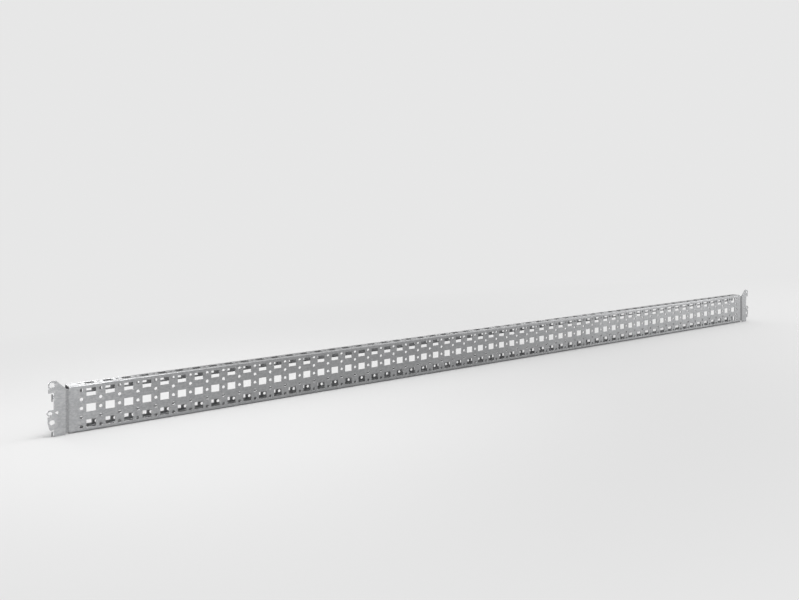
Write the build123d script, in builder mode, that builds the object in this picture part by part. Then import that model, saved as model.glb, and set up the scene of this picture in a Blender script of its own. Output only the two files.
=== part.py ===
"""Punched rail of folded sheet steel with a mounting flange at each end.

One piece of galvanised sheet: a C section, open at the back between two lips, with a
25 mm hole system on its front, top, bottom and lips. At each end the front web steps
forward into a flat mounting flange with an ear, a lobe, screw holes and two hooks.

Millimetres. X runs along the rail, Y from the front to the back, Z up. The origin is in
the middle of the length and of the section's depth, on the underside.
"""

import os

from build123d import *

os.makedirs("parts", exist_ok=True)

# Sheet and section
sheet = 1.5
bend_radius = 1.0
section_height = 64.0
section_depth = 23.0
lip_width = 15.5
total_length = 1538.0
flange_reach = 28.5

# Hole system
pitch = 25.0
column_margin = 20.0
window_width = 12.5
window_height = 10.5
window_row_spacing = 21.5
window_rows = 3
round_diameter = 4.5
round_row_spacing = 12.5
round_rows = 5
lip_slot_height = 7.5
lip_slot_setback = 9.25
lip_round_setback = 7.2

# Step from the web to the mounting flange
step_forward = 2.0
step_start = 0.8
step_run = 3.5
step_radius = 3.0
step_relief = 2.8

# Mounting flange, measured outwards from the section's end and up from the underside
foot_height = 0.5
foot_start = 6.2
recess_edge = 19.7
recess_low = 36.1
ear_low = 59.0
ear_edge = 26.4
ear_top = 75.0
ear_corner = 4.8
ear_shoulder = 16.8
screw_diameter = 6.6
screw_edge = 22.0
ear_screw_height = 69.5
lower_screw_height = 19.5
lobe_hole_diameter = 4.8
lobe_hole_edge = 24.5
body_edge = 27.1
body_low = 18.5
body_high = 27.0
heel_edge = 24.0
heel_corner = 25.2
heel_low = 8.7
arrow_tip = 18.9
arrow_base = 14.4
arrow_height = 5.2

# Hooks, bent to the back from the flange's outer edge
hook_radius = 0.5
hook_depth = 5.8
hook_nose_length = 2.5
hook_relief = 2.2
upper_tab_height = 6.0
upper_nose_drop = 4.4
lower_nose_drop = 1.6

# Derived places
half_length = total_length / 2
half_section = half_length - flange_reach
front = -section_depth / 2
back = section_depth / 2
middle_height = section_height / 2
fold_radius = bend_radius + sheet / 2
flange_front = front - step_forward
ear_screw = (screw_edge, ear_screw_height)
lower_screw = (screw_edge, lower_screw_height)
lobe_centre = (lobe_hole_edge, middle_height)
window_columns = int((2 * half_section - 2 * column_margin) / pitch) + 1
round_columns = window_columns + 1
upper_hook_top = ear_low - hook_relief
upper_hook_low = upper_hook_top - upper_tab_height - upper_nose_drop
lower_hook_top = heel_low - hook_relief


def centre_line(points, radius):
    """Polyline through the middle of the sheet with a rounded bend at each corner."""
    return FilletPolyline(*points, radius=radius)


# C section, drawn as the middle line of the sheet
inset = sheet / 2
opening_low = lip_width
opening_high = section_height - lip_width
section_path = [
    (back - inset, opening_high),
    (back - inset, section_height - inset),
    (front + inset, section_height - inset),
    (front + inset, inset),
    (back - inset, inset),
    (back - inset, opening_low),
]

with BuildPart() as section:
    with BuildSketch(Plane.YZ):
        with BuildLine():
            centre_line(section_path, fold_radius)
        trace(line_width=sheet)
    extrude(amount=half_section, both=True)

# Mounting flange at the right-hand end: the step in plan, then its outline from the front
step_end = step_start + step_run
flange_path = [
    (half_section - step_run, front + inset),
    (half_section + step_start, front + inset),
    (half_section + step_end, flange_front + inset),
    (half_length + sheet, flange_front + inset),
]
flange_outline = [
    (-step_run, step_relief),
    (foot_start, step_relief),
    (foot_start, foot_height),
    (recess_edge, foot_height),
    (recess_edge, heel_low),
    (heel_edge, heel_low),
    (heel_corner, heel_low + hook_relief),
    (body_edge, body_low),
    (body_edge, body_high),
    (lobe_centre[0], body_high),
    (lobe_centre[0], recess_low),
    (recess_edge, recess_low),
    (recess_edge, ear_low),
    (ear_edge, ear_low),
    (ear_edge, ear_top),
    (ear_shoulder, ear_top),
    (step_end, ear_top - ear_shoulder + step_end),
    (step_end, section_height - step_relief),
    (-step_run, section_height - step_relief),
]
lobe_radius = flange_reach - lobe_centre[0]
arrow_points = [
    (arrow_tip, lobe_centre[1]),
    (arrow_base, lobe_centre[1] + arrow_height / 2),
    (arrow_base, lobe_centre[1] - arrow_height / 2),
]
flange_plane = Plane(origin=(half_section, front, 0), x_dir=(1, 0, 0), z_dir=(0, -1, 0))


def hook(top, low, nose_drop):
    """Tab bent to the back at the recess's edge, with a nose that points down at its end."""
    turn = hook_radius + inset
    root_x = half_section + recess_edge
    tab_path = [
        (root_x - sheet, flange_front + inset),
        (root_x + turn, flange_front + inset),
        (root_x + turn, flange_front + hook_depth),
    ]
    nose_y = flange_front + hook_depth - hook_nose_length / 2
    with BuildPart() as tab:
        with BuildSketch(Plane.XY.offset(low + nose_drop)):
            with BuildLine():
                centre_line(tab_path, turn)
            trace(line_width=sheet)
        extrude(amount=top - low - nose_drop)
        with BuildSketch(Plane.XY.offset(low)):
            with Locations((root_x + turn, nose_y)):
                Rectangle(sheet, hook_nose_length)
        extrude(amount=nose_drop)
    return tab.part


with BuildPart() as end_flange:
    with BuildSketch(Plane.XY):
        with BuildLine():
            centre_line(flange_path, step_radius)
        trace(line_width=sheet)
    extrude(amount=ear_top)
    with BuildSketch(flange_plane):
        with BuildLine():
            Polyline(*flange_outline, close=True)
        make_face()
        with Locations(lobe_centre):
            Circle(lobe_radius)
        with Locations(ear_screw, lower_screw):
            Circle(screw_diameter / 2, mode=Mode.SUBTRACT)
        with Locations(lobe_centre):
            Circle(lobe_hole_diameter / 2, mode=Mode.SUBTRACT)
        with BuildLine():
            Polyline(*arrow_points, close=True)
        make_face(mode=Mode.SUBTRACT)
    extrude(amount=step_forward + sheet, both=True, mode=Mode.INTERSECT)
    ear_corner_edge = end_flange.edges().filter_by(Axis.Y).group_by(Axis.Z)[-1].sort_by(Axis.X)[-1]
    fillet(ear_corner_edge, radius=ear_corner)
    add(hook(upper_hook_top, upper_hook_low, upper_nose_drop))
    add(hook(lower_hook_top, 0, lower_nose_drop))

# Hole patterns, each on the outside of its face and punched through one sheet
front_plane = Plane(origin=(0, front, middle_height), x_dir=(1, 0, 0), z_dir=(0, -1, 0))
back_plane = Plane(origin=(0, back, middle_height), x_dir=(-1, 0, 0), z_dir=(0, 1, 0))
top_plane = Plane.XY.offset(section_height)
bottom_plane = Plane(origin=(0, 0, 0), x_dir=(1, 0, 0), z_dir=(0, 0, -1))

# Each face with its slot height, then the row spacing and rows of its slots and of its rounds
window_grid = (window_row_spacing, window_rows)
round_grid = (round_row_spacing, round_rows)
lip_slot_grid = (section_height - 2 * lip_slot_setback, 2)
lip_round_grid = (section_height - 2 * lip_round_setback, 2)
single_row = (0, 1)
punched_faces = [
    (front_plane, window_height, window_grid, round_grid),
    (back_plane, lip_slot_height, lip_slot_grid, lip_round_grid),
    (top_plane, window_height, single_row, single_row),
    (bottom_plane, window_height, single_row, single_row),
]

with BuildPart() as punched_rail:
    add(section.part)
    add(end_flange.part)
    mirror(end_flange.part, about=Plane.YZ)
    for plane, slot_height, slot_rows, hole_rows in punched_faces:
        with BuildSketch(plane):
            with GridLocations(pitch, slot_rows[0], window_columns, slot_rows[1]):
                Rectangle(window_width, slot_height)
            with GridLocations(pitch, hole_rows[0], round_columns, hole_rows[1]):
                Circle(round_diameter / 2)
    extrude(amount=-sheet, mode=Mode.SUBTRACT)

punched_rail.part.label = "punched_rail"
export_step(punched_rail.part, "parts/punched_rail.step")
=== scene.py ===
"""Studio scene of a punched steel rail: galvanised finish, pale floor, soft light, camera."""

import math

import bpy
from mathutils import Euler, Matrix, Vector

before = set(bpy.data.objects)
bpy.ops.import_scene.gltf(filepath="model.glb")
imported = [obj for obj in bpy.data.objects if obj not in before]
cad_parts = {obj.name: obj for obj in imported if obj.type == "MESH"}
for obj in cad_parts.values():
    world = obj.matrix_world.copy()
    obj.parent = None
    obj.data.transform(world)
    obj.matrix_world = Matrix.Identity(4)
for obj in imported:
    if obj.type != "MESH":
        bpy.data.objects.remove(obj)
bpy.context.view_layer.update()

MM = 0.001

# Camera, as fitted to the hole rows: level, with the picture shifted down from the horizon
IMAGE_WIDTH = 799
IMAGE_HEIGHT = 600
SENSOR = 36.0
FOCAL_PX = 917.5
HORIZON_PX = 172.7
CENTRE_PX = 510.0
RAIL_YAW = math.radians(39.334)
CAMERA_PLACE = Vector((-1066.6, -1354.0, 353.9)) * MM
CLIP_START = 0.01
CLIP_END = 200.0

# Zinc colours, and the paler colour of the painted edge highlight, linear
ZINC_PALE = (0.348, 0.351, 0.356)
ZINC_DARK = (0.272, 0.275, 0.28)
# Painted highlight: paler colour laid on cut edges and hole rims where the bevel turns
EDGE_HIGHLIGHT_COLOUR = (0.66, 0.66, 0.65)

# Zinc patterns: scale per metre, detail and, where it isn't a half, roughness
CLOUDS = (22.0, 3.0)
SPANGLE = (420.0, 3.0, 0.6)
ROLLING_LINES = (900.0, 2.0)
GRAIN = (2600.0, 1.0)
SPANGLE_STRETCH = (0.6, 1.0, 1.0)
LINES_STRETCH = (0.012, 1.0, 1.0)
CLOUDS_SHARE = 0.25
MOTTLING_RANGE = (0.38, 0.62)

# Zinc gloss and relief: brushed nearly along the rail, with edges rounded by the bevel and a
# painted highlight, a paler colour, where the bevel turns
METALLIC = 0.9
GLOSS_RANGE = (0.35, 0.65)
ROUGHNESS = (0.28, 0.36)
BRUSHED = 0.6
BRUSHED_TURN = 0.25
BRUSHED_ALONG = {"X": 1.0, "Y": 0.02, "Z": 0.03}
EDGE_WIDTH = 0.35 * MM
EDGE_SAMPLES = 8
EDGE_TURN = (0.80, 0.99)
# Share of the painted edge highlight in the base colour, from the edge turn to the flat sheet
EDGE_HIGHLIGHT_SHARE = (0.6, 0.0)
RELIEF_STRENGTH = 0.10
RELIEF_HEIGHT = 0.05 * MM

# Floor and surround, linear; the floor lies just under the rail
FLOOR_COLOUR = (0.74, 0.74, 0.74)
FLOOR_ROUGHNESS = 0.9
FLOOR_HALF = 40.0
FLOOR_DROP = 0.2 * MM
BACKGROUND = (0.80, 0.80, 0.80)
FILL_STRENGTH = 0.8

# The floor fades into the background between these distances, with those along the rail halved
FADE_RANGE = (0.35, 0.95)
FADE_STRETCH = (0.5, 1.0, 1.0)

# Soft boxes: name, place, target, width and height, power and beam, in metres, watts and degrees
LAMPS = (
    ("overhead", (0.7, 0, 2.2), (0.7, 0, 0), (3.2, 1.0), 20, 180),
    ("overhead_left", (-0.4, -0.36, 1.6), (-0.7, 0, 0.06), (0.7, 0.25), 0.9, 60),
    ("overhead_right", (2.4, -0.36, 1.7), (1.2, 0, 0), (1.4, 0.5), 8, 160),
    ("front_right", (2.75, -2.0, 0.25), (0.5, 0, 0.05), (1.3, 0.4), 1.15, 60),
    ("front_left", (-0.88, -1.7, 0.10), (-0.8, 0, 0.06), (0.6, 0.16), 0.48, 30),
    ("back_left", (-1.6, 2.6, 0.6), (0.1, 0, 0.03), (1.4, 0.7), 7, 110),
    ("back_right", (2.0, 2.6, 0.2), (0.1, 0, 0.03), (1.4, 0.3), 0.6, 60),
    ("back_top", (-0.05, 2.5, 0.66), (-0.70, 0, 0.06), (0.24, 0.15), 0.014, 16),
)

# Places of the Mix node's factor and colour inputs, and of its colour output
MIX_FACTOR = 0
MIX_FIRST = 6
MIX_SECOND = 7
MIX_COLOUR = 2


def opaque(colour):
    """Colour with full alpha, as the sockets take it."""
    return (*colour, 1.0)


class Nodes:
    """A node tree, with short calls to add and link nodes."""

    def __init__(self, owner):
        owner.use_nodes = True
        self.tree = owner.node_tree
        self.tree.nodes.clear()

    def add(self, kind, values=None, **settings):
        """New node with its settings and the values of its inputs."""
        node = self.tree.nodes.new(kind)
        for name, value in settings.items():
            setattr(node, name, value)
        for name, value in (values or {}).items():
            node.inputs[name].default_value = value
        return node

    def link(self, source, target):
        self.tree.links.new(source, target)

    def noise(self, vector, scale, detail, rough=0.5):
        values = {"Scale": scale, "Detail": detail, "Roughness": rough}
        node = self.add("ShaderNodeTexNoise", values)
        self.link(vector, node.inputs["Vector"])
        return node.outputs["Fac"]

    def stretch(self, vector, factors):
        node = self.add("ShaderNodeMapping", {"Scale": factors})
        self.link(vector, node.inputs["Vector"])
        return node.outputs["Vector"]

    def ramp(self, value, source, target=(0.0, 1.0)):
        """Value taken from the source range to the target range, and kept inside it."""
        values = {"From Min": source[0], "From Max": source[1],
                  "To Min": target[0], "To Max": target[1]}
        node = self.add("ShaderNodeMapRange", values, clamp=True)
        self.link(value, node.inputs["Value"])
        return node.outputs["Result"]

    def mix(self, factor, first, second):
        """Mix of two colours, each of them a constant or a socket."""
        node = self.add("ShaderNodeMix", data_type="RGBA")
        self.link(factor, node.inputs[MIX_FACTOR])
        for value, place in ((first, MIX_FIRST), (second, MIX_SECOND)):
            if isinstance(value, tuple):
                node.inputs[place].default_value = opaque(value)
            else:
                self.link(value, node.inputs[place])
        return node.outputs[MIX_COLOUR]

    def math(self, operation, first, second):
        """Operation on two values, each of them a constant or a socket."""
        node = self.add("ShaderNodeMath", operation=operation)
        for value, socket in zip((first, second), node.inputs):
            if isinstance(value, float):
                socket.default_value = value
            else:
                self.link(value, socket)
        return node.outputs["Value"]

    def blend(self, first, second, share):
        """Sum of two values, with this share for the first and the rest for the second."""
        return self.math("ADD", self.math("MULTIPLY", first, share),
                         self.math("MULTIPLY", second, 1.0 - share))

    def mix_shader(self, factor, first, second):
        node = self.add("ShaderNodeMixShader")
        for source, socket in zip((factor, first, second), node.inputs):
            self.link(source, socket)
        return node.outputs["Shader"]

    def seen_ray(self):
        """One for a ray of the camera, a reflection or a see-through, nought for the others."""
        path = self.add("ShaderNodeLightPath").outputs
        mirrored = self.math("MAXIMUM", path["Is Glossy Ray"], path["Is Transmission Ray"])
        return self.math("MAXIMUM", path["Is Camera Ray"], mirrored)

    def background(self, strength):
        values = {"Color": opaque(BACKGROUND), "Strength": strength}
        return self.add("ShaderNodeBackground", values).outputs["Background"]

    def show(self, kind, shader):
        """Ends the tree with an output node of this kind, fed by the shader."""
        self.link(shader, self.add(kind).inputs["Surface"])


def galvanised_steel():
    """Zinc-coated sheet: mottled tone, rolling lines along X, fine grain, and a painted highlight
    in paler colour on cut edges.
    """
    material = bpy.data.materials.new("galvanised_steel")
    n = Nodes(material)
    surface = n.add("ShaderNodeBsdfPrincipled", {
        "Metallic": METALLIC, "Anisotropic": BRUSHED, "Anisotropic Rotation": BRUSHED_TURN})

    place = n.add("ShaderNodeTexCoord").outputs["Object"]
    clouds = n.noise(place, *CLOUDS)
    spangle = n.noise(n.stretch(place, SPANGLE_STRETCH), *SPANGLE)
    lines = n.noise(n.stretch(place, LINES_STRETCH), *ROLLING_LINES)
    grain = n.noise(place, *GRAIN)

    mottling = n.ramp(n.blend(clouds, spangle, CLOUDS_SHARE), MOTTLING_RANGE)
    tone = n.mix(mottling, ZINC_DARK, ZINC_PALE)
    edge = n.add("ShaderNodeBevel", {"Radius": EDGE_WIDTH}, samples=EDGE_SAMPLES)
    flat = n.add("ShaderNodeNewGeometry")
    turn = n.add("ShaderNodeVectorMath", operation="DOT_PRODUCT")
    for source, socket in zip((edge, flat), turn.inputs):
        n.link(source.outputs["Normal"], socket)
    # Painted highlight: the tone turns to the paler edge colour where the bevel normal leaves the
    # flat one
    edge_highlight = n.ramp(turn.outputs["Value"], EDGE_TURN, EDGE_HIGHLIGHT_SHARE)
    n.link(n.mix(edge_highlight, tone, EDGE_HIGHLIGHT_COLOUR), surface.inputs["Base Color"])

    gloss = n.ramp(n.blend(spangle, lines, 0.5), GLOSS_RANGE, ROUGHNESS)
    n.link(gloss, surface.inputs["Roughness"])
    along = n.add("ShaderNodeCombineXYZ", BRUSHED_ALONG)
    n.link(along.outputs["Vector"], surface.inputs["Tangent"])

    bump = n.add("ShaderNodeBump", {"Strength": RELIEF_STRENGTH, "Distance": RELIEF_HEIGHT})
    n.link(n.blend(lines, grain, 0.5), bump.inputs["Height"])
    n.link(edge.outputs["Normal"], bump.inputs["Normal"])
    n.link(bump.outputs["Normal"], surface.inputs["Normal"])
    n.show("ShaderNodeOutputMaterial", surface.outputs["BSDF"])
    return material


def pale_floor():
    """Plain, matt studio floor, which fades into the background away from the rail."""
    material = bpy.data.materials.new("pale_floor")
    n = Nodes(material)
    surface = n.add("ShaderNodeBsdfPrincipled", {
        "Base Color": opaque(FLOOR_COLOUR), "Roughness": FLOOR_ROUGHNESS,
        "Specular IOR Level": 0.0})
    far = n.add("ShaderNodeEmission", {"Color": opaque(BACKGROUND)})
    place = n.add("ShaderNodeTexCoord").outputs["Object"]
    distance = n.add("ShaderNodeVectorMath", operation="LENGTH")
    n.link(n.stretch(place, FADE_STRETCH), distance.inputs[0])
    fade = n.ramp(distance.outputs["Value"], FADE_RANGE)
    seen = n.math("MULTIPLY", fade, n.seen_ray())
    shader = n.mix_shader(seen, surface.outputs["BSDF"], far.outputs["Emission"])
    n.show("ShaderNodeOutputMaterial", shader)
    return material


def add_floor():
    """One large plane under the rail."""
    mesh = bpy.data.meshes.new("floor")
    corners = [(x * FLOOR_HALF, y * FLOOR_HALF, 0) for x, y in ((-1, -1), (1, -1), (1, 1), (-1, 1))]
    mesh.from_pydata(corners, [], [(0, 1, 2, 3)])
    mesh.materials.append(pale_floor())
    floor = bpy.data.objects.new("floor", mesh)
    floor.location.z = -FLOOR_DROP
    bpy.context.scene.collection.objects.link(floor)


def add_world():
    """Pale surround for the camera and in reflections, and a softer fill on the object."""
    world = bpy.data.worlds.new("studio")
    bpy.context.scene.world = world
    n = Nodes(world)
    shader = n.mix_shader(n.seen_ray(), n.background(FILL_STRENGTH), n.background(1.0))
    n.show("ShaderNodeOutputWorld", shader)


def add_light(name, place, target, size, power, beam):
    """Soft box turned from place to target. The camera doesn't see it."""
    data = bpy.data.lights.new(name, "AREA")
    data.shape = "RECTANGLE"
    data.size, data.size_y = size
    data.energy = power
    data.spread = math.radians(beam)
    light = bpy.data.objects.new(name, data)
    light.location = place
    aim = Vector(target) - Vector(place)
    light.rotation_euler = aim.to_track_quat("-Z", "Y").to_euler()
    light.visible_camera = False
    bpy.context.scene.collection.objects.link(light)


def add_camera():
    """The fitted camera, whose shift places the horizon and the centre column."""
    data = bpy.data.cameras.new("camera")
    data.sensor_fit = "HORIZONTAL"
    data.sensor_width = SENSOR
    data.lens = FOCAL_PX / IMAGE_WIDTH * SENSOR
    data.shift_x = ((IMAGE_WIDTH - 1) / 2 - CENTRE_PX) / IMAGE_WIDTH
    data.shift_y = -((IMAGE_HEIGHT - 1) / 2 - HORIZON_PX) / IMAGE_WIDTH
    data.clip_start = CLIP_START
    data.clip_end = CLIP_END
    camera = bpy.data.objects.new("camera", data)
    camera.location = CAMERA_PLACE
    camera.rotation_euler = Euler((math.pi / 2, 0, -RAIL_YAW))
    bpy.context.scene.collection.objects.link(camera)
    bpy.context.scene.camera = camera


def finish_rail():
    """The rail keeps its CAD mesh and gets the zinc finish."""
    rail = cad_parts["punched_rail"]
    rail.data.materials.clear()
    rail.data.materials.append(galvanised_steel())


finish_rail()
add_floor()
add_world()
for lamp in LAMPS:
    add_light(*lamp)
add_camera()
bpy.context.scene.view_settings.view_transform = "Standard"
